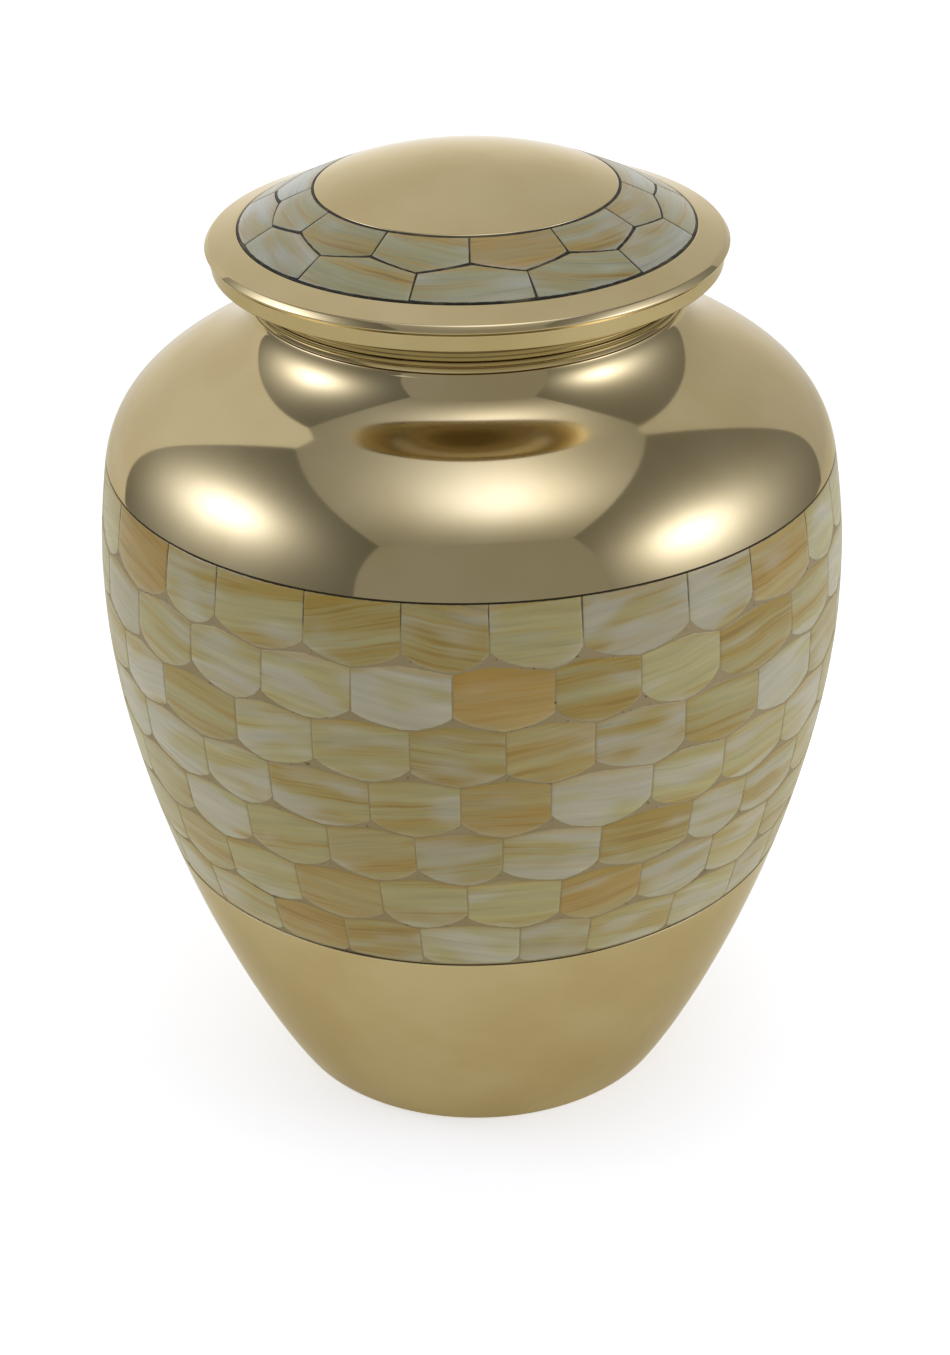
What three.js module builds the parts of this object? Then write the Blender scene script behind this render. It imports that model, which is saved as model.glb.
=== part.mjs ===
// Brass cremation urn with mother-of-pearl tiles inlaid round the body and in the lid.
// Millimetres, +Z up, origin on the axis at the foot, and -Y is the front.
import * as THREE from 'three';

// Sizes of the body, with each height counted from the place named before it
const FOOT_RADIUS = 51.9;
const FOOT_RING_WIDTH = 7;
const FOOT_RECESS = 2.4;
const BELLY_RADIUS = 92.4;
const BELLY_HEIGHT = 136;
const SHOULDER_RADIUS = 89.9;
const SHOULDER_RISE = 31.2;
const FLARE_RISE = 27.7;
const FLARE_STAND = 13.9;
const BEAD_RISE = 13.4;
const BEAD_STAND = 0.5;
const NECK_RISE = 3.1;
const NECK_RADIUS = 51.9;
const LIP_WIDTH = 3.3;
const BODY_WALL = 2.7;

// Slopes of the body's outline, radius gained for each unit of height
const FOOT_SLOPE = 0.63;
const SHOULDER_SLOPE = -0.143;
const FLARE_SLOPE = -1.92;

// Reach of the curves out of each point of the outline
const FOOT_REACH = 22.9;
const BELLY_REACH_DOWN = 49.7;
const BELLY_REACH_UP = 8.3;
const SHOULDER_REACH_DOWN = 17;
const SHOULDER_REACH_UP = 13.4;
const FLARE_REACH_DOWN = 7.7;
const FLARE_REACH_UP = 2.2;
const BEAD_REACH = 6;

// Sizes of the inlaid band round the body
const BAND_BOTTOM_HEIGHT = 68.8;
const BAND_LENGTH = 101.9;
const BAND_RECESS = 1.5;
const BAND_ROWS = 7;
const BAND_TILES_AROUND = 26;
const BAND_TILE_ARCH = 3.6;
const BAND_JOINT = 0.9;
const BAND_JOINT_DEPTH = 0.35;
const BAND_TURN = 4.4;

// Sizes of the lid, from the neck outwards and upwards, then inwards along the rim's top
const LID_NECK_RISE = 5.7;
const LID_COLLAR_STAND = 8.7;
const LID_COLLAR_RISE = 4.1;
const LID_COLLAR_SPREAD = 0.8;
const LID_RIM_STEP = 0.3;
const LID_RIM_BULGE = 0.6;
const LID_RIM_BULGE_RISE = 0.9;
const LID_RIM_ROUND_RISE = 1.4;
const LID_RIM_ROUND = 1.1;
const LID_RIM_WIDTH = 6.7;
const LID_RIM_FACE_RISE = 2.3;
const LID_INLAY_WIDTH = 18.6;
const LID_INLAY_RISE = 9.1;
const LID_DOME_RISE = 6.6;
const LID_PLUG_DEPTH = 12;
const LID_PLUG_WALL = 2;
const LID_WALL = 2.2;
const LID_RECESS = 3;
const LID_TILES_AROUND = 12;
const LID_TILE_THICKNESS = 1.5;
const LID_TILE_ARCH = 3.1;
const LID_INNER_ROW_LENGTH = 10.2;
const LID_JOINT = 0.5;
const LID_TURN = 0.6;

// Clearances
const SEAT_GAP = 0.3;
const PLUG_CLEARANCE = 0.5;

// Fineness of the facets
const BAND_STEPS_PER_TILE = 2;
const LID_STEPS_PER_TILE = 4;
const RECESS_STRIPS = 3;
const DOME_STEPS = 4;
const DOME_UNDER_STEPS = 2;

const SHOULDER_HEIGHT = BELLY_HEIGHT + SHOULDER_RISE;
const FLARE_HEIGHT = SHOULDER_HEIGHT + FLARE_RISE;
const FLARE_RADIUS = NECK_RADIUS + FLARE_STAND;
const BEAD_HEIGHT = FLARE_HEIGHT + BEAD_RISE;
const BEAD_RADIUS = NECK_RADIUS + BEAD_STAND;
const NECK_TOP_HEIGHT = BEAD_HEIGHT + NECK_RISE;
const MOUTH_RADIUS = NECK_RADIUS - LIP_WIDTH;
const BAND_TOP_HEIGHT = BAND_BOTTOM_HEIGHT + BAND_LENGTH;
const LID_SEAT_HEIGHT = NECK_TOP_HEIGHT + SEAT_GAP;

const BODY_SEGMENTS = BAND_TILES_AROUND * BAND_STEPS_PER_TILE;
const LID_SEGMENTS = LID_TILES_AROUND * LID_STEPS_PER_TILE;

const brass = { color: 0xc9b37e, roughness: 0.12, metalness: 1 };
const pearl = { color: 0xd8cfae, roughness: 0.25, metalness: 0 };
const resin = { color: 0x4a463a, roughness: 0.4, metalness: 0 };

const urn = new THREE.Group();

function addPiece(name, geometry, finish) {
  const mesh = new THREE.Mesh(geometry, new THREE.MeshStandardMaterial(finish));
  mesh.name = name;
  urn.add(mesh);
}

// A stretch of outline between two points, leaving each along its own slope.
function stretch(start, startSlope, startReach, end, endSlope, endReach) {
  return new THREE.CubicBezierCurve(
    start,
    new THREE.Vector2(start.x + startSlope * startReach, start.y + startReach),
    new THREE.Vector2(end.x - endSlope * endReach, end.y - endReach),
    end,
  );
}

const footPoint = new THREE.Vector2(FOOT_RADIUS, 0);
const bellyPoint = new THREE.Vector2(BELLY_RADIUS, BELLY_HEIGHT);
const shoulderPoint = new THREE.Vector2(SHOULDER_RADIUS, SHOULDER_HEIGHT);
const flarePoint = new THREE.Vector2(FLARE_RADIUS, FLARE_HEIGHT);
const beadPoint = new THREE.Vector2(BEAD_RADIUS, BEAD_HEIGHT);

const outline = [
  stretch(footPoint, FOOT_SLOPE, FOOT_REACH, bellyPoint, 0, BELLY_REACH_DOWN),
  stretch(bellyPoint, 0, BELLY_REACH_UP, shoulderPoint, SHOULDER_SLOPE, SHOULDER_REACH_DOWN),
  stretch(
    shoulderPoint, SHOULDER_SLOPE, SHOULDER_REACH_UP, flarePoint, FLARE_SLOPE, FLARE_REACH_DOWN,
  ),
  stretch(flarePoint, FLARE_SLOPE, FLARE_REACH_UP, beadPoint, 0, BEAD_REACH),
];

// The place on the outline at a height, found by halving the stretch that holds it.
function placeAt(height) {
  const curve = outline.find((part) => height <= part.v3.y) ?? outline[outline.length - 1];
  let low = 0;
  let high = 1;
  while (high - low > 1e-7) {
    const middle = (low + high) / 2;
    if (curve.getPoint(middle).y < height) {
      low = middle;
    } else {
      high = middle;
    }
  }
  return { curve, at: low };
}

function bodyRadius(height) {
  const { curve, at } = placeAt(height);
  return curve.getPoint(at).x;
}

// The point a wall's thickness inside the outline, square to it, at a height of the outside.
function innerPoint(height) {
  const { curve, at } = placeAt(height);
  const point = curve.getPoint(at);
  const tangent = curve.getTangent(at);
  return new THREE.Vector2(point.x - BODY_WALL * tangent.y, point.y + BODY_WALL * tangent.x);
}

// Heights evenly spread from one height to another, both included.
function spread(from, to, count) {
  return Array.from({ length: count + 1 }, (_, step) => from + ((to - from) * step) / count);
}

function revolve(profile, segments, turn) {
  const geometry = new THREE.LatheGeometry(profile, segments, THREE.MathUtils.degToRad(turn));
  geometry.rotateX(Math.PI / 2);
  return geometry;
}

// The body: underside, outside with the band's recess, neck, mouth and the inside down again.
function makeBody() {
  const point = (radius, height) => new THREE.Vector2(radius, height);
  const onOutline = (height) => point(bodyRadius(height), height);
  const recessFloor = (height) => point(bodyRadius(height) - BAND_RECESS, height);
  const floorHeight = FOOT_RECESS + BODY_WALL;
  const bandEdges = [BAND_BOTTOM_HEIGHT, BAND_TOP_HEIGHT];
  const cornerHeight = floorHeight + BODY_WALL;
  const boreBottom = innerPoint(BEAD_HEIGHT - BEAD_REACH);
  const insideHeights = [
    ...spread(FLARE_HEIGHT, SHOULDER_HEIGHT + SHOULDER_REACH_UP / 2, 2),
    ...spread(SHOULDER_HEIGHT, cornerHeight, 4),
  ];
  const corner = innerPoint(cornerHeight);
  const profile = [
    point(0, FOOT_RECESS),
    point(FOOT_RADIUS - FOOT_RING_WIDTH - FOOT_RECESS, FOOT_RECESS),
    point(FOOT_RADIUS - FOOT_RING_WIDTH, 0),
    ...spread(0, BAND_BOTTOM_HEIGHT, 3).map(onOutline),
    ...spread(...bandEdges, RECESS_STRIPS).map(recessFloor),
    ...spread(BAND_TOP_HEIGHT, FLARE_HEIGHT, 5).map(onOutline),
    ...spread(FLARE_HEIGHT, BEAD_HEIGHT, 3).slice(1).map(onOutline),
    point(NECK_RADIUS, BEAD_HEIGHT + BEAD_RADIUS - NECK_RADIUS),
    point(NECK_RADIUS, NECK_TOP_HEIGHT),
    point(MOUTH_RADIUS, NECK_TOP_HEIGHT),
    point(MOUTH_RADIUS, boreBottom.y),
    ...insideHeights.map(innerPoint),
    point(corner.x - BODY_WALL, floorHeight),
    point(0, floorHeight),
  ];
  addPiece('urn_body', revolve(profile, BODY_SEGMENTS, BAND_TURN), brass);
}

// A pattern of tiles laid like bricks in rows that run round the axis, with arched ends.
// edges holds the place of each row's edges along the band, and face gives the radius and the
// height of the surface at such a place, at a depth under it.
function makePattern({ rows, tiles, stepsPerTile, edges, arch, turn, face, joint }) {
  const steps = tiles * stepsPerTile;
  const half = stepsPerTile / 2;
  const angleOf = (step) => THREE.MathUtils.degToRad(turn + (360 * step) / steps);
  const firstJoint = (row) => (row % 2) * half;

  // How far down the band a seam between two rows runs: high where the row above has a joint.
  function seam(row, step) {
    const across = (((step - firstJoint(row - 1)) / stepsPerTile) % 1 + 1) % 1;
    const wave = 4 * Math.min(across, 1 - across) - 1;
    const isInside = row > 0 && row < rows;
    return edges[row] + (isInside ? (Math.sign(edges[rows] - edges[0]) * arch * wave) / 2 : 0);
  }

  function place(angle, along, depth) {
    const [radius, height] = face(along, depth);
    return [radius * Math.sin(angle), -radius * Math.cos(angle), height];
  }

  // The corners of one tile from its top left, down, right and up again, with half the joint
  // taken off each side.
  function tileCorners(row, tile, depth) {
    const first = firstJoint(row) + tile * stepsPerTile;
    const side = Math.sign(edges[rows] - edges[0]) * (joint / 2);
    const corner = (step, upper) => {
      const along = seam(upper ? row : row + 1, step) + (upper ? side : -side);
      const inset = joint / 2 / face(along, 0)[0];
      const isLeft = step === first;
      const isRight = step === first + stepsPerTile;
      const angle = angleOf(step) + (isLeft ? inset : 0) - (isRight ? inset : 0);
      return place(angle, along, depth);
    };
    const across = Array.from({ length: stepsPerTile + 1 }, (_, step) => first + step);
    return {
      first,
      upper: across.map((step) => corner(step, true)),
      lower: across.map((step) => corner(step, false)),
    };
  }

  return { steps, angleOf, seam, place, tileCorners };
}

// Triangles gathered from faces of three or more corners, with equal corners shared.
class Facets {
  constructor() {
    this.positions = [];
    this.indices = [];
    this.known = new Map();
  }

  corner(position) {
    const key = position.map((value) => value.toFixed(5)).join(' ');
    if (!this.known.has(key)) {
      this.known.set(key, this.positions.length / 3);
      this.positions.push(...position);
    }
    return this.known.get(key);
  }

  face(...corners) {
    const numbers = corners.map((position) => this.corner(position));
    for (let last = 2; last < numbers.length; last += 1) {
      this.indices.push(numbers[0], numbers[last - 1], numbers[last]);
    }
  }

  // The ring of faces between two lines of corners that run side by side.
  strip(upper, lower) {
    for (let step = 0; step < upper.length - 1; step += 1) {
      this.face(upper[step], lower[step], lower[step + 1], upper[step + 1]);
    }
  }

  geometry() {
    const geometry = new THREE.BufferGeometry();
    geometry.setAttribute('position', new THREE.Float32BufferAttribute(this.positions, 3));
    geometry.setIndex(this.indices);
    geometry.computeVertexNormals();
    return geometry;
  }
}

// The band round the body: tiles at the surface, joints sunk between them, and a plain back.
function makeBodyInlay() {
  const topEdge = BAND_TOP_HEIGHT - SEAT_GAP;
  const bottomEdge = BAND_BOTTOM_HEIGHT + SEAT_GAP;
  const pattern = makePattern({
    rows: BAND_ROWS,
    tiles: BAND_TILES_AROUND,
    stepsPerTile: BAND_STEPS_PER_TILE,
    edges: spread(topEdge, bottomEdge, BAND_ROWS),
    arch: BAND_TILE_ARCH,
    turn: BAND_TURN,
    face: (height, depth) => [bodyRadius(height) - depth, height],
    joint: BAND_JOINT,
  });
  const facets = new Facets();
  const groove = (row, step) => {
    const around = step % pattern.steps;
    return pattern.place(pattern.angleOf(around), pattern.seam(row, around), BAND_JOINT_DEPTH);
  };
  for (let row = 0; row < BAND_ROWS; row += 1) {
    for (let tile = 0; tile < BAND_TILES_AROUND; tile += 1) {
      const { first, upper, lower } = pattern.tileCorners(row, tile, 0);
      const across = upper.map((_, step) => first + step);
      const grooveAbove = across.map((step) => groove(row, step));
      const grooveBelow = across.map((step) => groove(row + 1, step));
      facets.strip(upper, lower);
      facets.strip(grooveAbove, upper);
      facets.strip(lower, grooveBelow);
      facets.face(upper[0], grooveAbove[0], grooveBelow[0], lower[0]);
      facets.face(lower.at(-1), grooveBelow.at(-1), grooveAbove.at(-1), upper.at(-1));
    }
  }
  const round = Array.from({ length: pattern.steps + 1 }, (_, step) => step % pattern.steps);
  const back = spread(BAND_TOP_HEIGHT, BAND_BOTTOM_HEIGHT, RECESS_STRIPS).map((height) => {
    const kept = THREE.MathUtils.clamp(height, bottomEdge, topEdge);
    const depth = BAND_RECESS - SEAT_GAP;
    return round.map((step) => pattern.place(pattern.angleOf(step), kept, depth));
  });
  facets.strip(back[0], round.map((step) => groove(0, step)));
  facets.strip(round.map((step) => groove(BAND_ROWS, step)), back.at(-1));
  for (let strip = 0; strip < RECESS_STRIPS; strip += 1) {
    facets.strip(back[strip + 1], back[strip]);
  }
  addPiece('body_inlay', facets.geometry(), pearl);
}

// The lid's outline, each point a step from the one before.
function stepFrom(point, outwards, upwards) {
  return new THREE.Vector2(point.x + outwards, point.y + upwards);
}
const lidSeat = new THREE.Vector2(NECK_RADIUS, LID_SEAT_HEIGHT);
const lidNeckTop = stepFrom(lidSeat, 0, LID_NECK_RISE);
const lidCollarBottom = stepFrom(lidNeckTop, LID_COLLAR_STAND, 0);
const lidCollarTop = stepFrom(lidCollarBottom, LID_COLLAR_SPREAD, LID_COLLAR_RISE);
const lidRimUnder = stepFrom(lidCollarTop, LID_RIM_STEP, 0);
const lidRimEdge = stepFrom(lidRimUnder, LID_RIM_BULGE, LID_RIM_BULGE_RISE);
const lidRimTop = stepFrom(lidRimEdge, -LID_RIM_ROUND, LID_RIM_ROUND_RISE);
const lidOuterEdge = stepFrom(lidRimTop, -LID_RIM_WIDTH, LID_RIM_FACE_RISE);

// The inlaid face is a cone between its two round edges. Depth is counted square to it.
const lidInnerEdge = stepFrom(lidOuterEdge, -LID_INLAY_WIDTH, LID_INLAY_RISE);
const lidFaceLength = lidInnerEdge.distanceTo(lidOuterEdge);
const lidFaceRun = lidOuterEdge.clone().sub(lidInnerEdge).divideScalar(lidFaceLength);

function lidFace(along, depth) {
  const point = lidInnerEdge.clone().addScaledVector(lidFaceRun, along);
  return [point.x + depth * lidFaceRun.y, point.y - depth * lidFaceRun.x];
}

// A ball's cap of a given rise over a round edge, from the axis outwards.
function domePoints(rise, edge, steps) {
  const ballRadius = (edge.x ** 2 + rise ** 2) / (2 * rise);
  const edgeAngle = Math.asin(edge.x / ballRadius);
  return spread(0, edgeAngle, steps).map((angle) => new THREE.Vector2(
    ballRadius * Math.sin(angle),
    edge.y + rise - ballRadius * (1 - Math.cos(angle)),
  ));
}

function makeLid() {
  const onCone = (along, depth) => new THREE.Vector2(...lidFace(along, depth));
  const backDepth = LID_RECESS + LID_WALL;
  const underInner = onCone(0, backDepth);
  const underRise = lidInnerEdge.y + LID_DOME_RISE - LID_WALL - underInner.y;
  const plugRadius = MOUTH_RADIUS - PLUG_CLEARANCE;
  const plugInside = plugRadius - LID_PLUG_WALL;
  const plugBottom = NECK_TOP_HEIGHT - LID_PLUG_DEPTH;
  const underPlug = onCone((plugInside - underInner.x) / lidFaceRun.x, backDepth);
  const profile = [
    ...domePoints(underRise, underInner, DOME_UNDER_STEPS),
    underPlug,
    new THREE.Vector2(plugInside, plugBottom),
    new THREE.Vector2(plugRadius, plugBottom),
    new THREE.Vector2(plugRadius, LID_SEAT_HEIGHT),
    lidSeat,
    lidNeckTop,
    lidCollarBottom,
    lidCollarTop,
    lidRimUnder,
    lidRimEdge,
    lidRimTop,
    lidOuterEdge,
    onCone(lidFaceLength, LID_RECESS),
    onCone(0, LID_RECESS),
    ...domePoints(LID_DOME_RISE, lidInnerEdge, DOME_STEPS).reverse(),
  ];
  addPiece('lid', revolve(profile, LID_SEGMENTS, LID_TURN), brass);
}

// The lid's inlay: a flat ring of resin, and over it two rows of tiles, each its own piece.
function makeLidInlay() {
  const edges = [
    SEAT_GAP,
    SEAT_GAP + LID_INNER_ROW_LENGTH,
    lidFaceLength - SEAT_GAP,
  ];
  const pattern = makePattern({
    rows: 2,
    tiles: LID_TILES_AROUND,
    stepsPerTile: LID_STEPS_PER_TILE,
    edges,
    arch: LID_TILE_ARCH,
    turn: LID_TURN,
    face: lidFace,
    joint: LID_JOINT,
  });
  const resinDepths = [LID_TILE_THICKNESS + SEAT_GAP, LID_RECESS - SEAT_GAP];
  const section = [
    lidFace(edges[0], resinDepths[0]),
    lidFace(edges[0], resinDepths[1]),
    lidFace(edges[2], resinDepths[1]),
    lidFace(edges[2], resinDepths[0]),
    lidFace(edges[0], resinDepths[0]),
  ].map(([radius, height]) => new THREE.Vector2(radius, height));
  addPiece('lid_resin', revolve(section, LID_SEGMENTS, LID_TURN), resin);
  ['inner', 'outer'].forEach((rowName, row) => {
    for (let tile = 0; tile < LID_TILES_AROUND; tile += 1) {
      const top = pattern.tileCorners(row, tile, 0);
      const bottom = pattern.tileCorners(row, tile, LID_TILE_THICKNESS);
      const facets = new Facets();
      facets.strip(top.upper, top.lower);
      facets.strip(bottom.lower, bottom.upper);
      facets.strip(bottom.upper, top.upper);
      facets.strip(top.lower, bottom.lower);
      facets.face(top.upper[0], bottom.upper[0], bottom.lower[0], top.lower[0]);
      facets.face(top.lower.at(-1), bottom.lower.at(-1), bottom.upper.at(-1), top.upper.at(-1));
      const number = String(tile + 1).padStart(2, '0');
      addPiece(`lid_tile_${rowName}_${number}`, facets.geometry(), pearl);
    }
  });
}

makeBody();
makeBodyInlay();
makeLid();
makeLidInlay();

export default urn;
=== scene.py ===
"""Polished brass cremation urn, with mother-of-pearl tiles inlaid round its body and in its lid.

Lengths are metres. The origin is on the axis at the foot, +Z is up and -Y is the front.
A turn is an angle about the axis, counted from the front towards +X.
"""
import math

import bpy
import numpy as np
from mathutils import Matrix, Vector


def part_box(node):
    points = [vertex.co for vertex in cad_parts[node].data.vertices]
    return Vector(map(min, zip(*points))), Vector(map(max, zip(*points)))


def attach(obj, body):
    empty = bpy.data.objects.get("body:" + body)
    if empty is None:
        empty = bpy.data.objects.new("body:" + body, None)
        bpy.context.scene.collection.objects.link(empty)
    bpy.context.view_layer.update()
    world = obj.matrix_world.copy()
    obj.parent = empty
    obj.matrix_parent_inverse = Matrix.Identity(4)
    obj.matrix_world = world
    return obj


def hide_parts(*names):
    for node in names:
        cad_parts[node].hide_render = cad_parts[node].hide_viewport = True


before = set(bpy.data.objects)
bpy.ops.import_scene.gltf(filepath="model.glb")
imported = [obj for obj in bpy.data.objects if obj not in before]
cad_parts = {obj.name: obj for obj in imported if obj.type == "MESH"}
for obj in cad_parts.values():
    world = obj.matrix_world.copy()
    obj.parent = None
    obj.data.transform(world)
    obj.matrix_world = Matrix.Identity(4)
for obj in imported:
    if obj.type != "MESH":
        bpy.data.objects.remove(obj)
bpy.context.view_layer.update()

MM = 0.001

# Places taken from the frame: the lowest and highest corners of its nodes
_, body_high = (Vector(corner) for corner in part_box("urn_body"))
band_low, band_high = (Vector(corner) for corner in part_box("body_inlay"))
lid_low, _ = (Vector(corner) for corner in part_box("lid"))

# The gap between one solid of the frame and the next, which stands for glue
SEAT_GAP = 0.3 * MM

# Sizes of the body
FOOT_RADIUS = 51.9 * MM
FOOT_RING_WIDTH = 7 * MM
FOOT_RECESS = 2.4 * MM
BODY_WALL = 2.7 * MM
BELLY_RADIUS = band_high.x
BELLY_HEIGHT = 136 * MM
SHOULDER_RADIUS = 89.9 * MM
SHOULDER_RISE = 31.27 * MM
FLARE_RISE = 27.52 * MM
FLARE_STAND = 14.04 * MM
BEAD_RISE = 13.51 * MM
BEAD_STAND = 0.5 * MM
NECK_RADIUS = 51.9 * MM
LIP_WIDTH = 3.3 * MM
NECK_TOP_HEIGHT = body_high.z

# Fine grooves turned round the necks of the body and of the lid: height, width and depth
BODY_NECK_GROOVE = (NECK_TOP_HEIGHT - 1.5 * MM, 0.5 * MM, 0.2 * MM)
LID_NECK_GROOVES = [
    (NECK_TOP_HEIGHT + 1.1 * MM, 0.3 * MM, 0.08 * MM),
    (NECK_TOP_HEIGHT + 2.2 * MM, 0.4 * MM, 0.12 * MM),
]

# Slopes of the body's outline, and the reach of its curves out of each point
FOOT_SLOPE = 0.63
SHOULDER_SLOPE = -0.146
FLARE_SLOPE = -1.942
FOOT_REACH = 22.9 * MM
BELLY_REACH_DOWN = 49.7 * MM
BELLY_REACH_UP = 8.3 * MM
SHOULDER_REACH_DOWN = 17.65 * MM
SHOULDER_REACH_UP = 12.46 * MM
FLARE_REACH_DOWN = 8.04 * MM
FLARE_REACH_UP = 2.12 * MM
BEAD_REACH = 6.41 * MM

# Sizes of the inlaid band, whose recess in the brass holds the resin and the tiles
BAND_BOTTOM = band_low.z - SEAT_GAP
BAND_TOP = band_high.z + SEAT_GAP
BAND_RECESS = 1.5 * MM
BAND_ROWS = 7
BAND_TILES = 26

# Sizes of the lid, as steps from the neck outwards and upwards, then inwards over the rim
LID_NECK_RISE = 5.7 * MM
LID_COLLAR_STAND = 8.7 * MM
LID_COLLAR_RISE = 4.1 * MM
LID_COLLAR_SPREAD = 0.8 * MM
LID_COLLAR_BEVEL = 0.3 * MM
LID_COLLAR_BEVEL_RISE = 0.24 * MM
LID_RIM_STEP = 0.3 * MM
LID_RIM_BULGE = 0.6 * MM
LID_RIM_BULGE_RISE = 0.9 * MM
LID_RIM_ROUND_RISE = 1.4 * MM
LID_RIM_ROUND = 1.1 * MM
LID_RIM_WIDTH = 6.7 * MM
LID_RIM_FACE_RISE = 2.3 * MM
LID_INLAY_WIDTH = 18.6 * MM
LID_INLAY_RISE = 9.1 * MM
LID_DOME_RISE = 6.6 * MM
LID_FACE_CROWN = 0.35 * MM
LID_PLUG_WALL = 2 * MM
LID_WALL = 2.2 * MM
LID_RECESS = 3 * MM
LID_TILES = 12
PLUG_CLEARANCE = 0.5 * MM
LID_SEAT_GAP = 0.1 * MM

# Radii of the rounding of corners, the turn in radians past which a corner is sharp, the most of
# an edge that one rounding takes up, and the points that it gets
BODY_ROUNDING = 0.3 * MM
LID_ROUNDING = 0.35 * MM
RESIN_ROUNDING = 0.1 * MM
SHARP_TURN = 0.35
ROUNDING_SHARE = 0.42
ROUNDING_POINTS = 5

# The length past which a profile's edge is braced near its ends, the way of those points from the
# ends, and the widest gap between other points
LONG_EDGE = 3.2 * MM
BRACE_NEAR = 0.4 * MM
BODY_BRACE_FAR = 6 * MM
LID_BRACE_FAR = 3 * MM

# Points in a ring round the axis, and the distance under which two points are one
RING_POINTS = 256
SAME_PLACE = 1e-8

seeded = np.random.default_rng(26)


# Meshes

def make_object(name, points, faces, nodes):
    """A smooth mesh object at the origin that stands for the given nodes of the frame."""
    mesh = bpy.data.meshes.new(name)
    mesh.from_pydata(points.tolist(), [], faces)
    mesh.polygons.foreach_set("use_smooth", np.ones(len(mesh.polygons), dtype=bool))
    mesh.update()
    piece = bpy.data.objects.new(name, mesh)
    bpy.context.scene.collection.objects.link(piece)
    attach(piece, "root")
    if nodes:
        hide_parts(*nodes)
    return piece


def without_repeats(points):
    """The points without any that lies where the one before it does."""
    moved = np.linalg.norm(np.diff(points, axis=0), axis=1) > SAME_PLACE
    return points[np.concatenate([[True], moved])]


def rounded(points, radius):
    """The profile with each sharp corner made round.

    A corner C becomes the curve (1-t)^2 A + 2t(1-t) C + t^2 B, where A lies a radius before it
    and B a radius past it, or less where an edge is short.
    """
    points = without_repeats(np.asarray(points, dtype=float))
    edge = np.diff(points, axis=0)
    length = np.linalg.norm(edge, axis=1)
    direction = edge / length[:, None]
    cosine = np.sum(direction[:-1] * direction[1:], axis=1)
    reach = np.minimum(radius, ROUNDING_SHARE * np.minimum(length[:-1], length[1:]))
    reach = np.where(np.arccos(np.clip(cosine, -1, 1)) > SHARP_TURN, reach, 0)[:, None]
    corner = points[1:-1]
    before = corner - reach * direction[:-1]
    after = corner + reach * direction[1:]
    share = np.linspace(0, 1, ROUNDING_POINTS)[:, None, None]
    curve = (1 - share) ** 2 * before + 2 * share * (1 - share) * corner + share ** 2 * after
    curve = curve.transpose(1, 0, 2).reshape(-1, 2)
    return without_repeats(np.vstack([points[:1], curve, points[-1:]]))


def braced(points, far):
    """The profile with points added on long edges, close to both ends and evenly between."""
    length = np.linalg.norm(np.diff(points, axis=0), axis=1)
    pieces = [points[:1]]
    for start, end, span in zip(points[:-1], points[1:], length):
        count = int(span // far) + 1
        shares = np.linspace(0, 1, count + 1)[1:]
        if span > LONG_EDGE:
            shares = np.union1d(shares, [BRACE_NEAR / span, 1 - BRACE_NEAR / span])
        pieces.append(start + shares[:, None] * (end - start))
    return np.vstack(pieces)


def turned(radius, height, turn):
    """The point at a radius and height, turned about the axis: (r sin a, -r cos a, z)."""
    return np.stack(
        [radius * np.sin(turn), -radius * np.cos(turn), height + 0 * turn], axis=-1)


def revolve(name, profile, nodes, closed=False):
    """The surface of revolution of a profile of radii and heights.

    Each point of the profile gives a ring of points at even turns. A point on the axis gives one
    point, joined to the ring beside it by triangles, and a closed profile joins its ends.
    """
    profile = np.asarray(profile, dtype=float)
    here = np.arange(RING_POINTS)
    beyond = (here + 1) % RING_POINTS
    turn = here * (2 * math.pi / RING_POINTS)
    at_start, at_end = (
        not closed and abs(radius) < SAME_PLACE for radius in (profile[0, 0], profile[-1, 0]))
    rings = profile[1 if at_start else 0:len(profile) - (1 if at_end else 0)]
    points = turned(rings[:, :1], rings[:, 1:], turn[None, :]).reshape(-1, 3)
    row = np.arange(len(rings) if closed else len(rings) - 1)[:, None]
    low = row * RING_POINTS
    high = ((row + 1) % len(rings)) * RING_POINTS
    quads = np.stack([low + here, low + beyond, high + beyond, high + here], axis=-1)
    faces = quads.reshape(-1, 4).tolist()
    if at_start:
        pole = np.full(RING_POINTS, len(points))
        points = np.vstack([points, [[0, 0, profile[0, 1]]]])
        faces += np.stack([pole, beyond, here], axis=-1).tolist()
    if at_end:
        pole = np.full(RING_POINTS, len(points))
        points = np.vstack([points, [[0, 0, profile[-1, 1]]]])
        last = (len(rings) - 1) * RING_POINTS
        faces += np.stack([pole, last + here, last + beyond], axis=-1).tolist()
    return make_object(name, points, faces, nodes)


# The body's outline

def stretch(start, start_slope, start_reach, end, end_slope, end_reach, count=32):
    """The cubic curve (1-t)^3 A + 3t(1-t)^2 B + 3t^2(1-t) C + t^3 D between two outline points.

    B lies above A by its reach and C below D by its own, each along the outline's slope there.
    """
    share = np.linspace(0, 1, count)[:, None]
    start, end = np.array(start), np.array(end)
    leaving = start + start_reach * np.array([start_slope, 1])
    arriving = end - end_reach * np.array([end_slope, 1])
    return ((1 - share) ** 3 * start + 3 * share * (1 - share) ** 2 * leaving
            + 3 * share ** 2 * (1 - share) * arriving + share ** 3 * end)


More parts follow.
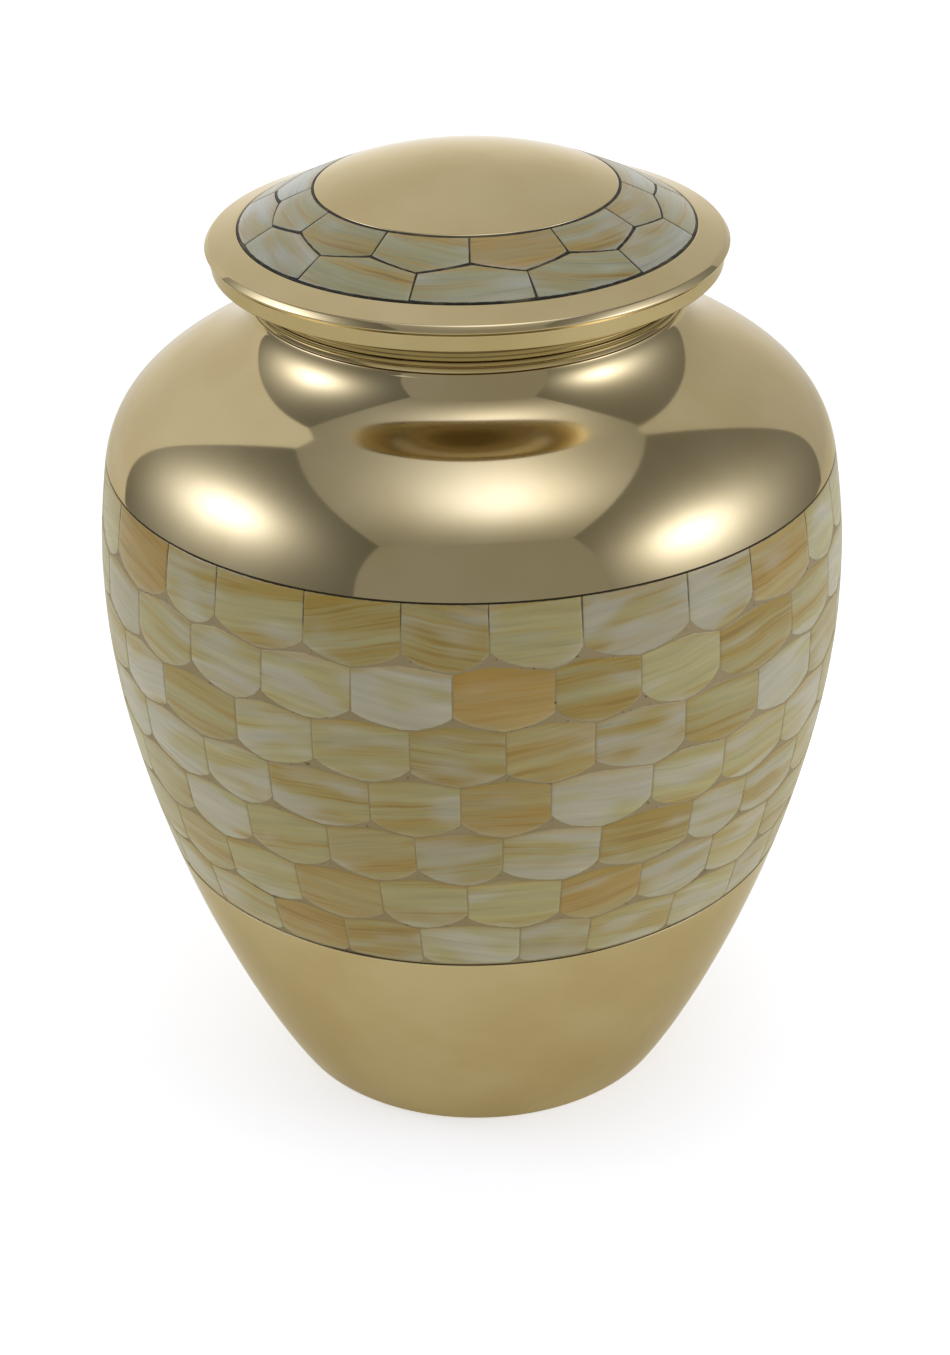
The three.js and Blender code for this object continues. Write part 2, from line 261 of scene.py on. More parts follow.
def make_outline():
    """The body's outline from the foot to the bead's widest place, as four cubic stretches."""
    shoulder_height = BELLY_HEIGHT + SHOULDER_RISE
    flare_height = shoulder_height + FLARE_RISE
    foot = (FOOT_RADIUS, 0)
    belly = (BELLY_RADIUS, BELLY_HEIGHT)
    shoulder = (SHOULDER_RADIUS, shoulder_height)
    flare = (NECK_RADIUS + FLARE_STAND, flare_height)
    bead = (NECK_RADIUS + BEAD_STAND, flare_height + BEAD_RISE)
    stretches = [
        stretch(foot, FOOT_SLOPE, FOOT_REACH, belly, 0, BELLY_REACH_DOWN, count=70),
        stretch(belly, 0, BELLY_REACH_UP, shoulder, SHOULDER_SLOPE, SHOULDER_REACH_DOWN),
        stretch(shoulder, SHOULDER_SLOPE, SHOULDER_REACH_UP, flare, FLARE_SLOPE, FLARE_REACH_DOWN),
        stretch(flare, FLARE_SLOPE, FLARE_REACH_UP, bead, 0, BEAD_REACH),
    ]
    return np.vstack([stretches[0]] + [part[1:] for part in stretches[1:]])


outline = make_outline()


def body_radius(height):
    """The outline's radius at a height, on straight lines between its points."""
    return np.interp(height, outline[:, 1], outline[:, 0])


def outline_between(low, high, inward=0.0):
    """The outline's points between two heights, moved towards the axis."""
    inside = (outline[:, 1] > low + SAME_PLACE) & (outline[:, 1] < high - SAME_PLACE)
    heights = np.concatenate([[low], outline[inside, 1], [high]])
    return np.column_stack([body_radius(heights) - inward, heights])


def inner_outline(step):
    """The outline moved square to itself by the wall's thickness, from the top down.

    The slope's direction (x, z) gives the way inwards, (-z, x). One point in each step is kept.
    """
    tangent = np.gradient(outline, axis=0)
    tangent /= np.linalg.norm(tangent, axis=1)[:, None]
    return (outline + BODY_WALL * tangent[:, ::-1] * [-1, 1])[::-step]


# Brass pieces

def neck_groove(height, width, depth):
    """The three points of a V-shaped groove, cut into the neck from a height upwards."""
    return [
        (NECK_RADIUS, height), (NECK_RADIUS - depth, height + width / 2),
        (NECK_RADIUS, height + width)]


def make_body():
    """The vessel: underside, outside with the band's recess, neck, mouth and the inside."""
    bead_height = outline[-1, 1]
    bead_radius = outline[-1, 0]
    mouth_radius = NECK_RADIUS - LIP_WIDTH
    bead_turn = np.linspace(0, math.pi / 2, num=5)[1:]
    bead = [bead_radius - BEAD_STAND, bead_height] + BEAD_STAND * np.column_stack(
        [np.cos(bead_turn), np.sin(bead_turn)])
    floor_height = FOOT_RECESS + BODY_WALL
    ring_inside = FOOT_RADIUS - FOOT_RING_WIDTH
    inside = inner_outline(step=5)
    inside = inside[(inside[:, 0] > mouth_radius) & (inside[:, 1] > floor_height + BODY_WALL)]
    profile = np.vstack([
        [(0, FOOT_RECESS), (ring_inside - FOOT_RECESS, FOOT_RECESS), (ring_inside, 0)],
        outline_between(0, BAND_BOTTOM),
        outline_between(BAND_BOTTOM, BAND_TOP, BAND_RECESS)[::4],
        [(body_radius(BAND_TOP) - BAND_RECESS, BAND_TOP)],
        outline_between(BAND_TOP, bead_height),
        bead,
        neck_groove(*BODY_NECK_GROOVE),
        [
            (NECK_RADIUS, NECK_TOP_HEIGHT),
            (mouth_radius, NECK_TOP_HEIGHT),
            (mouth_radius, inside[0, 1]),
        ],
        inside,
        [(inside[-1, 0] - BODY_WALL, floor_height), (0, floor_height)],
    ])
    profile = braced(rounded(profile, BODY_ROUNDING), BODY_BRACE_FAR)
    return revolve("brass_body", profile, ["urn_body"])


def lid_outline():
    """The places on the lid's outside, each the sum of the steps up to it."""
    steps = [
        (NECK_RADIUS, NECK_TOP_HEIGHT + SEAT_GAP),
        (0, LID_NECK_RISE),
        (LID_COLLAR_STAND, 0),
        (LID_COLLAR_SPREAD, LID_COLLAR_RISE),
        (LID_RIM_STEP, 0),
        (LID_RIM_BULGE, LID_RIM_BULGE_RISE),
        (-LID_RIM_ROUND, LID_RIM_ROUND_RISE),
        (-LID_RIM_WIDTH, LID_RIM_FACE_RISE),
        (-LID_INLAY_WIDTH, LID_INLAY_RISE),
    ]
    return np.cumsum(steps, axis=0)


lid_places = lid_outline()
lid_outer_edge, lid_inner_edge = lid_places[-2], lid_places[-1]
lid_face_length = np.linalg.norm(lid_outer_edge - lid_inner_edge)
lid_face_run = (lid_outer_edge - lid_inner_edge) / lid_face_length


def lid_face(along, depth):
    """Radius and height at a depth under the lid's inlaid cone, at a way along it.

    The way is counted from the inner edge outwards. At a share s of the cone's whole length its
    face stands 4 C s (1 - s) above a straight cone, where C is the crown.
    """
    share = along / lid_face_length
    lift = 4 * LID_FACE_CROWN * share * (1 - share) - depth
    radius = lid_inner_edge[0] + along * lid_face_run[0] - lift * lid_face_run[1]
    height = lid_inner_edge[1] + along * lid_face_run[1] + lift * lid_face_run[0]
    return radius, height


def dome(rise, edge, steps):
    """A ball's cap of a given rise over a round edge, from the axis outwards.

    The ball's radius R is (e^2 + rise^2) / (2 rise) for an edge of radius e. At an angle a from
    the axis the cap's radius is R sin a, and it lies R (1 - cos a) under its top.
    """
    ball = (edge[0] ** 2 + rise ** 2) / (2 * rise)
    angle = np.linspace(0, math.asin(edge[0] / ball), steps)
    return np.column_stack([ball * np.sin(angle), edge[1] + rise - ball * (1 - np.cos(angle))])


def make_lid():
    """The lid: hollow underside, plug, neck band, collar, rim, inlay recess and dome."""
    back_depth = LID_RECESS + LID_WALL
    under_inner = np.array(lid_face(0, back_depth))
    under_rise = lid_inner_edge[1] + LID_DOME_RISE - LID_WALL - under_inner[1]
    plug_radius = NECK_RADIUS - LIP_WIDTH - PLUG_CLEARANCE
    plug_inside = plug_radius - LID_PLUG_WALL
    plug_along = (plug_inside - under_inner[0]) / lid_face_run[0]
    seat_height = NECK_TOP_HEIGHT + LID_SEAT_GAP
    bevel = lid_places[2] + [LID_COLLAR_BEVEL, LID_COLLAR_BEVEL_RISE]
    profile = np.vstack([
        dome(under_rise, under_inner, steps=16),
        [
            under_inner + plug_along * lid_face_run,
            (plug_inside, lid_low.z),
            (plug_radius, lid_low.z),
            (plug_radius, seat_height),
            (NECK_RADIUS, seat_height),
        ],
        *[neck_groove(*groove) for groove in LID_NECK_GROOVES],
        lid_places[1:3],
        [bevel],
        lid_places[3:-1],
        [lid_face(lid_face_length, LID_RECESS), lid_face(0, LID_RECESS)],
        dome(LID_DOME_RISE, lid_inner_edge, steps=40)[::-1],
    ])
    profile = braced(rounded(profile, LID_ROUNDING), LID_BRACE_FAR)
    return revolve("brass_lid", profile, ["lid"])


# Mother-of-pearl tiles and the resin between them

# Lines of a tile's grid, from -1 at the left to 1 at the right and from 0 at the lower edge to 1
# at the upper one, and how far the grid's border lies under the surface
TILE_COLUMNS = np.array([-1, -0.98, -0.92, -0.8, -0.6, -0.3, 0, 0.3, 0.6, 0.8, 0.92, 0.98, 1])
TILE_LINES = np.array([0, 0.03, 0.3, 0.7, 0.97, 1])
TILE_EDGE_DROP = 0.1 * MM

# Random turn of a tile's grain in radians, and the width in mm of the grain that tiles come from
GRAIN_SPIN = 0.12
GRAIN_REACH = 900

# Tints of a tile, each from 0 to 1
TINTS = ("pale", "gold", "amber")


def tile_grid(shape, face, back_depth):
    """Points on the tops and backs of tiles on a surface of revolution, and their grain.

    u runs from -1 to 1 across a tile. The share s runs from 0 at the peak of an edge, which lies
    over or under a joint of the next row, to 1 at the tile's corners. The upper edge is at
    top + rise (1 - s^p) and the lower one at foot + drop (1 - (1 - s)^p) + lift s^4, or at a
    limit. A share v of the way up, from 0 to 1, lies at lower + v (upper - lower), turned by
    middle + half u + lean (v - 1/2). The grid's border drops under the surface.
    """
    u = TILE_COLUMNS[None, None, :]
    v = TILE_LINES[None, :, None]
    value = {key: np.asarray(item, dtype=float)[:, None, None] for key, item in shape.items()}
    above, below = (
        np.abs(u - value[peak]) / (1 + np.sign(u - value[peak]) * -value[peak])
        for peak in ("peak_above", "peak_below"))
    power = value["power"]
    upper = value["top"] + value["rise"] * (1 - above ** power)
    lower = (value["foot"] + value["drop"] * (1 - (1 - below) ** power)
             + value["lift"] * below ** 4)
    if "limit" in value:
        lower = np.clip(lower, value["limit"], None)
    along = lower + (upper - lower) * v
    lean = value["lean"] * (v - 0.5)
    turn = value["middle"] + value["half"] * u + lean + 0 * v
    border = (np.abs(u) == 1) | (v == 0) | (v == 1)
    depth = np.where(border, TILE_EDGE_DROP, value["sink"])
    radius, height = face(along, depth)
    top = turned(radius, height, turn)
    radius_back, height_back = face(along, back_depth + 0 * along)
    back = turned(radius_back, height_back, turn)
    across = radius * (turn - value["middle"])
    grain = np.stack([across, along - value["foot"]], axis=-1)
    return top, back, grain


def tile_faces(count):
    """Faces of each tile: the grid on top, then a rim down its sides. The backs come last."""
    lines, columns = len(TILE_LINES), len(TILE_COLUMNS)
    index = np.arange(lines * columns).reshape(lines, columns)
    top = np.stack(
        [index[:-1, :-1], index[:-1, 1:], index[1:, 1:], index[1:, :-1]], axis=-1).reshape(-1, 4)
    rim = np.concatenate([index[0, :-1], index[:-1, -1], index[-1, :0:-1], index[:0:-1, 0]])
    beyond = np.roll(rim, -1)
    per_tile = lines * columns
    side = np.stack([rim, rim + per_tile, beyond + per_tile, beyond], axis=-1)
    start = (np.arange(count) * 2 * per_tile)[:, None, None]
    quads = (np.vstack([top, side])[None] + start).reshape(-1, 4).tolist()
    backs = (rim[::-1][None] + per_tile + start[:, 0]).tolist()
    return quads + backs


def make_tiles(name, shape, face, back_depth, nodes):
    """One object of tiles, with the map of their grain, in mm, and their tints on it.

    The grain of each tile is turned by its spin and moved by its offset. The attribute way_up
    runs from 0 at a tile's lower edge to 1 at its upper one.
    """
    top, back, grain = tile_grid(shape, face, back_depth)
    count = len(top)
    points = np.stack([top.reshape(count, -1, 3), back.reshape(count, -1, 3)], axis=1)
    piece = make_object(name, points.reshape(-1, 3), tile_faces(count), nodes)
    grain = np.stack([grain.reshape(count, -1, 2)] * 2, axis=1)
    offset = shape["offset"][:, None, None, :]
    spin = np.asarray(shape["spin"])[:, None, None]
    across = grain[..., 0] * np.cos(spin) - grain[..., 1] * np.sin(spin)
    along = grain[..., 0] * np.sin(spin) + grain[..., 1] * np.cos(spin)
    mapped = np.stack([across, along], axis=-1) / MM + offset
    grid_faces = (len(TILE_LINES) - 1) * (len(TILE_COLUMNS) - 1)
    faces_of_one = grid_faces + 2 * (len(TILE_LINES) + len(TILE_COLUMNS) - 2)
    number = np.arange(len(piece.data.polygons))
    is_top = (number < count * faces_of_one) & (number % faces_of_one < grid_faces)
    piece.data.polygons.foreach_set("use_smooth", is_top)
    corner = np.empty(len(piece.data.loops), dtype=np.int32)
    piece.data.loops.foreach_get("vertex_index", corner)
    layer = piece.data.uv_layers.new(name="grain")
    layer.data.foreach_set("uv", mapped.reshape(-1, 2)[corner].ravel())
    per_tile = points.shape[1] * points.shape[2]
    marks = {key: np.repeat(shape[key], per_tile) for key in TINTS}
    marks["way_up"] = np.tile(np.repeat(TILE_LINES, len(TILE_COLUMNS)), 2 * count)
    for key, values in marks.items():
        attribute = piece.data.attributes.new(key, "FLOAT", "POINT")
        attribute.data.foreach_set("value", values)
    return piece


def random_finish(count):
    """Random values of each tile: the turn and place of its grain, and its tints."""
    return {
        "spin": seeded.normal(0, GRAIN_SPIN, count),
        "offset": seeded.uniform(0, GRAIN_REACH, (count, 2)),
        "pale": seeded.uniform(0, 1, count),
        "gold": seeded.uniform(0, 1, count),
        "amber": np.zeros(count),
    }


# The pattern of the band's tiles: turn of the first row and of each next one, widths of joints,
# heights of the seams' ends and peaks, and the shape of the arches
BAND_TURN = math.radians(3.0)
BAND_DRIFT = math.radians(0.5)
BAND_JOINT = 0.2 * MM
BAND_SEAM_JOINT = 0.12 * MM
BAND_SEAM_LOW = -2.1 * MM
BAND_SEAM_RISE = 1.9 * MM
BAND_CORNER_LIFT = 2.1 * MM
BAND_TOP_MARGIN = 0.45 * MM
BAND_BOTTOM_MARGIN = 0.75 * MM
BAND_ARCH_POWER = 1.25

# Unevenness of the band's tiles: joints as a share of a tile's width, lean in radians, the height
# of lower corners and the depth of faces
BAND_WANDER = 0.05
BAND_LEAN = 0.0012
BAND_LIFT_SPREAD = 0.7 * MM
BAND_SINK = 0.02 * MM

# Tiles that stand out: row, place round the band from the front, and amounts of pale, gold, amber
STANDOUT_TILES = [
    (1, -1, 0, 0.5, 1),
    (0, -5, 0, 0.8, 0.5),
    (0, 3, 0, 0.6, 0.5),
    (3, -1, 0, 0.9, 0.5),
    (5, -3, 0, 0.8, 0.5),
    (5, 0, 0, 0.8, 0.6),
    (6, -3, 0, 0.8, 0.5),
    (1, 0, 0, 1, 0),
    (1, 2, 0, 1, 0),
    (2, 2, 0, 1, 0),
    (4, 1, 0, 1, 0),
    (2, 0, 0.2, 0.5, 0.3),
    (4, -2, 0, 0.8, 0.3),
    (1, -2, 1, 0, 0),
    (2, -5, 1, 0, 0),
    (2, 3, 1, 0, 0),
    (3, 0, 1, 0.2, 0),
    (6, -1, 0.7, 0, 0),
]


def band_face(height, depth):
    """Radius and height at a depth under the body's outline."""
    return body_radius(height) - depth, height


def make_band_tiles():
    """Rows of tiles laid like bricks, their joints and edges a little uneven."""
    row, tile = (grid.ravel() for grid in np.indices((BAND_ROWS, BAND_TILES)))
    count = len(row)
    pitch = 2 * math.pi / BAND_TILES
    row_height = (BAND_TOP - BAND_BOTTOM) / BAND_ROWS
    wander = seeded.normal(0, BAND_WANDER, (BAND_ROWS + 2, BAND_TILES)) * pitch

    def joint(row, tile):
        """The turn of the joint at a tile's left. Rows run on above and below the band."""
        half_row = np.abs(row) % 2
        return ((tile + 0.5 * half_row) * pitch + BAND_TURN + BAND_DRIFT * row
                + wander[row + 1, tile % BAND_TILES])

    left = joint(row, tile)
    right = joint(row, tile + 1)
    middle = (left + right) / 2
    half = (right - left) / 2
    next_tile = tile + row % 2
    seam_above = BAND_TOP - row * row_height
    seam_below = seam_above - row_height
    radius = body_radius((seam_above + seam_below) / 2)
    is_first = row == 0
    ones = np.ones(count)
    top = seam_above + BAND_SEAM_LOW - BAND_SEAM_JOINT / 2
    shape = {
        "middle": middle,
        "half": half - BAND_JOINT / radius / 2,
        "lean": seeded.normal(0, BAND_LEAN, count),
        "top": np.where(is_first, seam_above - BAND_TOP_MARGIN, top),
        "rise": np.where(is_first, 0, BAND_SEAM_RISE),
        "peak_above": (joint(row - 1, next_tile) - middle) / half,
        "foot": seam_below + BAND_SEAM_LOW + BAND_SEAM_JOINT / 2,
        "drop": BAND_SEAM_RISE * ones,
        "peak_below": (joint(row + 1, next_tile) - middle) / half,
        "lift": BAND_CORNER_LIFT + seeded.normal(0, BAND_LIFT_SPREAD, count),
        "power": BAND_ARCH_POWER * ones,
        "limit": (BAND_BOTTOM + BAND_BOTTOM_MARGIN) * ones,
        "sink": seeded.uniform(0, BAND_SINK, count),
        **random_finish(count),
    }
    for row_number, place, *amounts in STANDOUT_TILES:
        standout = row_number * BAND_TILES + place % BAND_TILES
        for key, amount in zip(TINTS, amounts):
            shape[key][standout] = amount
    return make_tiles("pearl_band_tiles", shape, band_face, BAND_RECESS - SEAT_GAP, ["body_inlay"])


# The resin's way from the brass at its sides and back, and the depth of its face in the joints
RESIN_GAP = 0.05 * MM
BAND_RESIN_DEPTH = 0.075 * MM
LID_RESIN_DEPTH = 0.07 * MM


def make_band_resin():
    """The resin round the body, just under the tiles' faces and filling the joints."""
    low, high = BAND_BOTTOM + RESIN_GAP, BAND_TOP - RESIN_GAP
    outer = outline_between(low, high, BAND_RESIN_DEPTH)[::2]
    inner = outline_between(low, high, BAND_RECESS - RESIN_GAP)[::-4]
    profile = rounded(np.vstack([outer, inner, outer[:1]]), RESIN_ROUNDING)[:-1]
    return revolve("band_resin", profile, [], closed=True)


# The pattern of the lid's tiles, and their unevenness
LID_TURN = math.radians(0.6)
LID_JOINT = 0.28 * MM
LID_INNER_ROW_LENGTH = 10.2 * MM
LID_ARCH = 3.1 * MM
LID_ARCH_POWER = 1.06
LID_MARGIN = 0.55 * MM
LID_TILE_THICKNESS = 1.6 * MM
LID_WANDER = 0.025
LID_LEAN = 0.003
LID_LIFT_SPREAD = 0.5 * MM

# Lid tiles that stand out, and their amounts of pale, gold and amber
STANDOUT_LID_TILES = {
    ("inner", 0): (0, 1, 0.6),
    ("inner", 1): (0.5, 0.7, 0),
    ("inner", 11): (0.3, 0.3, 0),
    ("inner", 10): (0.2, 0.8, 0),
    ("outer", 0): (0.3, 0.6, 0),
    ("outer", 11): (0.45, 0.35, 0),
    ("outer", 10): (0.3, 0.3, 0),
    ("inner", 2): (0.4, 0.7, 0.2),
}


def make_lid_tiles():
    """Two rings of six-sided tiles, one object for each tile.

    A tile's up is towards the axis, so its ways along the cone are negative.
    """
    tiles = []
    pitch = 2 * math.pi / LID_TILES
    seam = SEAT_GAP + LID_INNER_ROW_LENGTH
    wander = seeded.normal(0, LID_WANDER, (2, LID_TILES)) * pitch
    half_joint = LID_JOINT / 2
    for row, row_name in enumerate(("inner", "outer")):
        for tile in range(LID_TILES):
            joint = LID_TURN + (tile + 0.5 * row) * pitch
            left = joint + wander[row, tile]
            right = joint + pitch + wander[row, (tile + 1) % LID_TILES]
            ends = [LID_MARGIN, seam - LID_ARCH / 2 - half_joint]
            if row:
                ends = [seam + LID_ARCH / 2 + half_joint, lid_face_length - LID_MARGIN]
            middle_along = (ends[0] + ends[1]) / 2
            gap = LID_JOINT / lid_face(middle_along, 0)[0]
            one = {
                "middle": (left + right) / 2,
                "half": (right - left - gap) / 2,
                "lean": seeded.normal(0, LID_LEAN),
                "top": -ends[0],
                "rise": LID_ARCH if row else 0,
                "foot": -ends[1] - (0 if row else LID_ARCH),
                "drop": 0 if row else LID_ARCH,
                "peak_above": 0,
                "peak_below": 0,
                "lift": seeded.uniform(0, LID_LIFT_SPREAD),
                "power": LID_ARCH_POWER,
                "sink": 0.0,
            }
            shape = {key: np.array([item]) for key, item in one.items()}
            shape.update(random_finish(1))
            for key, amount in zip(TINTS, STANDOUT_LID_TILES.get((row_name, tile), ())):
                shape[key][0] = amount
            number = tile + 1
            tiles.append(make_tiles(
                f"pearl_lid_{row_name}_{number:02d}", shape,
                lambda along, depth: lid_face(-along, depth), LID_TILE_THICKNESS,
                [f"lid_tile_{row_name}_{number:02d}"]))
    return tiles


def make_lid_resin():
    """The resin in the lid's recess, just under the tiles' faces and filling the joints."""
    along = np.linspace(RESIN_GAP, lid_face_length - RESIN_GAP, num=40)
    outer = np.column_stack(lid_face(along, LID_RESIN_DEPTH))
    inner = np.column_stack(lid_face(along, LID_RECESS - RESIN_GAP))
    profile = np.vstack([inner, outer[::-1]])
    return revolve("lid_resin_bed", profile, ["lid_resin"], closed=True)


# Finishes

class Socket:
    """An output of a finish's nodes, or their start.

    Operators on outputs add Math nodes, and node() adds any other node.
    """

    def __init__(self, tree, output=None):
        self.tree = tree
        self.output = output

    def node(self, kind, settings=None, inputs=None, output=0):
        """Adds a node, sets it, gives its inputs their values or links, and returns an output."""
        made = self.tree.nodes.new(kind)
        for name, setting in (settings or {}).items():
            setattr(made, name, setting)
        for name, value in (inputs or {}).items():
            if isinstance(value, Socket):
                self.tree.links.new(value.output, made.inputs[name])
            else:
                made.inputs[name].default_value = value
        return Socket(self.tree, made.outputs[output] if made.outputs else None)

    def maths(self, operation, *values):
        """A Math node on one or two values."""
        return self.node("ShaderNodeMath", {"operation": operation}, dict(enumerate(values)))

    def vectors(self, operation, *others, output="Vector"):
        """A Vector Math node on this output and any others."""
        return self.node(
            "ShaderNodeVectorMath", {"operation": operation}, dict(enumerate((self, *others))),
            output)

    def __add__(self, other):
        return self.maths("ADD", self, other)

    def __sub__(self, other):
        return self.maths("SUBTRACT", self, other)

    def __rsub__(self, other):
        return self.maths("SUBTRACT", other, self)

    def __mul__(self, other):
        return self.maths("MULTIPLY", self, other)

    def __rtruediv__(self, other):
        return self.maths("DIVIDE", other, self)

    def __pow__(self, other):
        return self.maths("POWER", self, other)

    def __abs__(self):
        return self.maths("ABSOLUTE", self)

    __radd__ = __add__
    __rmul__ = __mul__


def step_up(value, low, high):
    """0 below low, 1 above high, and 3t^2 - 2t^3 at a share t of the way between."""
    return value.node(
        "ShaderNodeMapRange", {"interpolation_type": "SMOOTHSTEP"}, {0: value, 1: low, 2: high})


def mixed(share, first, second):
    """The first colour where the share is 0, and the second where it is 1."""
    return share.node(
        "ShaderNodeMix", {"data_type": "RGBA"}, {0: share, 6: first, 7: second}, 2)


def scaled(colour, amount):
    """A colour times an amount, as a vector."""
    return amount.node(
        "ShaderNodeVectorMath", {"operation": "SCALE"}, {0: colour, "Scale": amount}, "Vector")


def noise(point, scale, detail=2.0, distortion=0.0):
    """Cloudy noise from 0 to 1, mostly near 0.5, with so many features a unit of length."""
    return point.node(
        "ShaderNodeTexNoise", {},
        {"Vector": point, "Scale": scale, "Detail": detail, "Distortion": distortion})


def parts(point):
    """The three parts of a vector."""
    return [point.node("ShaderNodeSeparateXYZ", {}, {0: point}, axis) for axis in "XYZ"]


def joined(x, y, z):
    """The vector of three parts, of which the first is an output."""
    return x.node("ShaderNodeCombineXYZ", {}, {0: x, 1: y, 2: z})


def bumped(height, distance):
    """The normal of a surface that a height from 0 to 1 raises by up to a distance."""
    return height.node("ShaderNodeBump", {}, {"Height": height, "Distance": distance}, "Normal")


def new_finish(name):
    """A material without nodes, the start of its nodes, and the place of a point on the piece."""
    material = bpy.data.materials.new(name)
    material.use_nodes = True
    material.node_tree.nodes.clear()
    start = Socket(material.node_tree)
    return material, start, start.node("ShaderNodeTexCoord", {}, {}, "Object")


def close_finish(start, inputs):
    """Ends a finish with the main shader, whose sockets get the given values and links."""
    shader = start.node("ShaderNodeBsdfPrincipled", {}, inputs)
    start.node("ShaderNodeOutputMaterial", {}, {"Surface": shader})


# Colours of the brass: its two clouds, its tint where it is seen aslant, and the painted shade on
# its neck under the lid's collar
BRASS_PALE = (0.62, 0.51, 0.29, 1)
BRASS_DEEP = (0.57, 0.455, 0.24, 1)
BRASS_EDGE = (0.86, 0.82, 0.74, 1)
BRASS_PAINTED_SHADE = (0.32, 0.236, 0.096, 1)

# Patterns of the brass, in features a metre: buffing marks across and along their run, clouds and
# waves. Then the range of noise over which its colour changes, and the height of its relief
BUFFING_SCALE = 1100
BUFFING_RUN_SCALE = 14
BRASS_CLOUD_SCALE = 34
BRASS_WAVE_SCALE = 22
BRASS_CLOUD_RANGE = (0.35, 0.7)
BRASS_RELIEF = 0.06 * MM

# The neck's painted shade under the lid's collar: how far under the neck's top it starts and is
# full, the heights above the collar's underside over which most of it ends, that share, and the
# height under the rim over which the rest ends
NECK_SHADE_START = 3 * MM
NECK_SHADE_FULL = 1.5 * MM
COLLAR_FADE = (0.1 * MM, 0.5 * MM)
COLLAR_FADE_SHARE = 0.8
RIM_FADE = 0.5 * MM


def brass_finish():
    """Polished brass with faint clouds, buffing marks round the axis, slow waves and painted
    shade.

    The neck is painted darker and more golden, as shade and light bounced under the lid's collar,
    from the bead's top up to the collar's underside, and the collar's side a little.
    """
    material, start, point = new_finish("polished_brass")
    x, y, z = parts(point)
    radius = (x * x + y * y) ** 0.5
    run = (x + y) * BUFFING_RUN_SCALE
    buffing = noise(joined(radius * BUFFING_SCALE, z * BUFFING_SCALE, run), 1, detail=3)
    cloud = noise(point, BRASS_CLOUD_SCALE, detail=4)
    wave = noise(point, BRASS_WAVE_SCALE)
    collar_height, rim_height = lid_places[2, 1], lid_places[4, 1]
    above_collar = step_up(z, *(collar_height + way for way in COLLAR_FADE))
    above_rim = step_up(z, rim_height - RIM_FADE, rim_height)
    # Painted shade: the neck under the lid's collar is darkened and made more golden, as shade and
    # bounced light there would
    painted_neck_shade = step_up(z, NECK_TOP_HEIGHT - NECK_SHADE_START, NECK_TOP_HEIGHT - NECK_SHADE_FULL) * (
        1 - COLLAR_FADE_SHARE * above_collar - (1 - COLLAR_FADE_SHARE) * above_rim)
    brass = mixed(step_up(cloud, *BRASS_CLOUD_RANGE), BRASS_PALE, BRASS_DEEP)
    close_finish(start, {
        "Base Color": mixed(painted_neck_shade * (0.75 + 0.5 * cloud), brass, BRASS_PAINTED_SHADE),
        "Metallic": 1,
        "Specular Tint": BRASS_EDGE,
        "Roughness": 0.04 + 0.03 * cloud + 0.02 * buffing,
        "Normal": bumped(wave + 0.004 * buffing, BRASS_RELIEF),
    })
    return material


# Colours of the tiles: their own, and those of pale patches, gold streaks, thin brown lines and
# amber tiles
BAND_PEARL = {
    "body": (0.44, 0.385, 0.165, 1),
    "pale": (0.49, 0.455, 0.33, 1),
    "gold": (0.43, 0.275, 0.035, 1),
    "brown": (0.25, 0.15, 0.02, 1),
    "amber": (0.50, 0.28, 0.05, 1),
}
LID_PEARL = {
    "body": (0.345, 0.325, 0.162, 1),
    "pale": (0.42, 0.415, 0.315, 1),
    "gold": (0.44, 0.285, 0.05, 1),
    "brown": (0.20, 0.12, 0.03, 1),
    "amber": (0.53, 0.325, 0.07, 1),
}

# The grain's patterns: features a mm across a tile and up it, the layer of the noise, its detail
# and its distortion. Then how far the grain sways in mm, and the features a mm of that
PATCH = (0.05, 0.13, 0, 1, 0)
STREAK = (0.014, 0.22, 3, 3, 0.2)
FINE_LINE = (0.02, 1.1, 7, 3, 0)
SOFT_BAND = (0.04, 0.5, 11, 2, 0)
GRAIN_SWAY = 2.4
GRAIN_SWAY_SCALE = 0.06

# Ranges over which the noise turns to pale patches, gold streaks and brown lines, and the way up
# a tile to its golden upper edge and to the painted highlight along its lower one
PALE_RANGE = (0.56, 0.84)
GOLD_RANGE = (0.48, 0.78)
BROWN_RANGE = (0.46, 0.64)
UPPER_EDGE_RANGE = (0.86, 1.0)
LOWER_HIGHLIGHT_RANGE = (0.9, 1.0)

# The tiles' clear coat, and the height of their relief
PEARL_COAT = 0.2
PEARL_COAT_ROUGHNESS = 0.12
PEARL_RELIEF = 0.012 * MM

# Chips and dark specks: a turn in degrees, a radius, a height and a size in mm. Then how each is
# squeezed, and the share of its size that is fully dark
CHIPS = [
    (-18.5, 92.2, 142, 0.9),
    (-49.5, 83, 71, 1.6),
    (-35, 83, 70, 1.4),
    (-20.5, 87, 86, 1.1),
    (30, 91.5, 163, 0.7),
    (-21, 37.5, 234, 0.9),
]
CHIP_COLOUR = (0.012, 0.01, 0.006, 1)
CHIP_SQUEEZE = (1, 1, 2)
CHIP_CORE = 0.7


def chip_marks(point):
    """1 on a chip and 0 off it. A chip is a ball squeezed to half its height."""
    marks = 0
    squeezed = point.vectors("MULTIPLY", CHIP_SQUEEZE)
    for turn, radius, height, size in CHIPS:
        centre = turned(radius * MM, height * MM, math.radians(turn)) * CHIP_SQUEEZE
        away = squeezed.vectors("DISTANCE", centre, output="Value")
        marks = marks + (1 - step_up(away, CHIP_CORE * size * MM, size * MM))
    return marks


def grain_noise(across, along, pattern):
    """One of the grain's patterns, from a point's places across a tile and up it."""
    across_scale, along_scale, layer, detail, distortion = pattern
    place = joined(across * across_scale, along * along_scale, layer)
    return noise(place, 1, detail, distortion)


